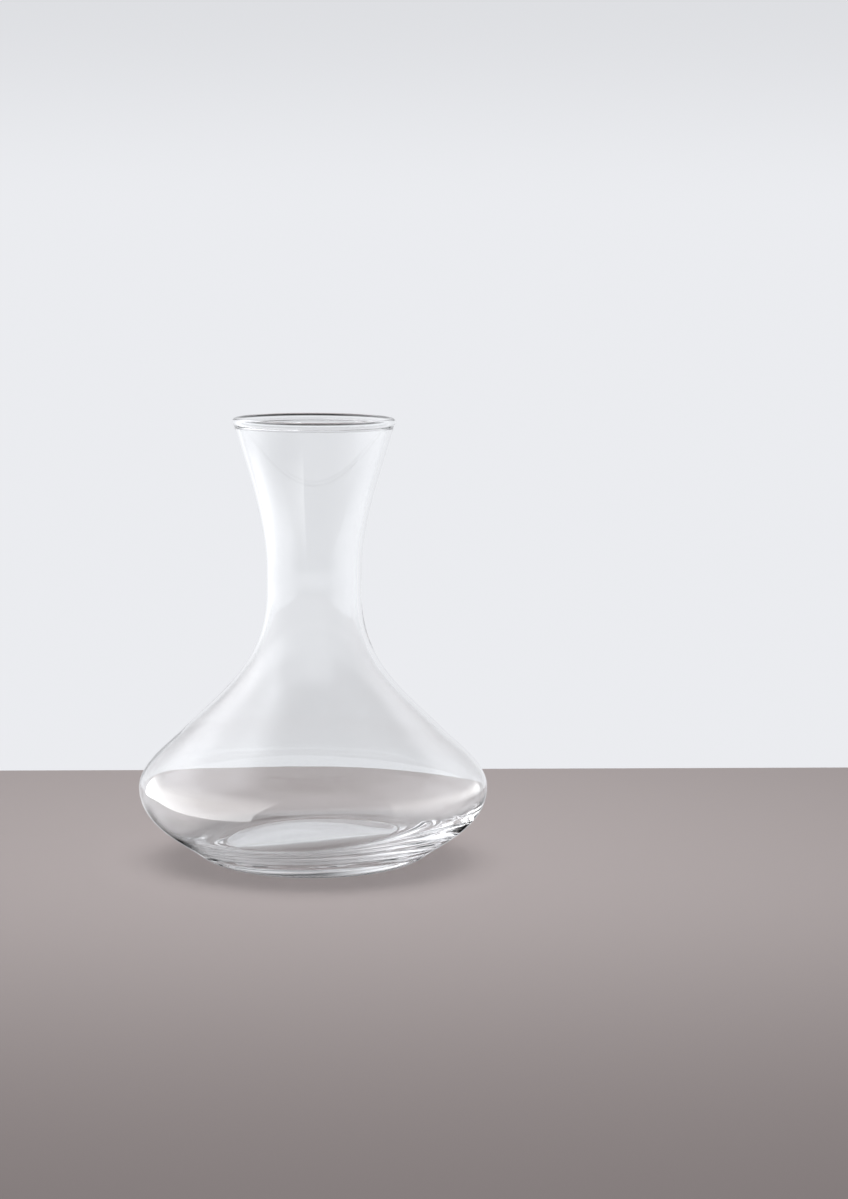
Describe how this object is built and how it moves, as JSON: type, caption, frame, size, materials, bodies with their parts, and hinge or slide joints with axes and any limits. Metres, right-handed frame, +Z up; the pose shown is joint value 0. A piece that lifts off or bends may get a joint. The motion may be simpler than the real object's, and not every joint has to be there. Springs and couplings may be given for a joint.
{
  "type": "decanter",
  "caption": "Wide-bowled clear glass wine decanter with a narrow throat, flared neck, round beaded rim and a thick, gently domed floor, open at the top.",
  "frame": {"origin": "centre of the foot ring, on the surface that the decanter stands on", "axes": "+Z up along the axis of the vessel, from the foot to the rim; the vessel is turned, so +X and +Y are alike"},
  "size_m": [0.2, 0.2, 0.255],
  "materials": {
    "clear_glass": "clear, fire polished"
  },
  "bodies": {
    "root": {"base": "clear_glass", "bowl": "clear_glass", "shoulder": "clear_glass", "neck": "clear_glass", "rim": "clear_glass"}
  },
  "joints": []
}
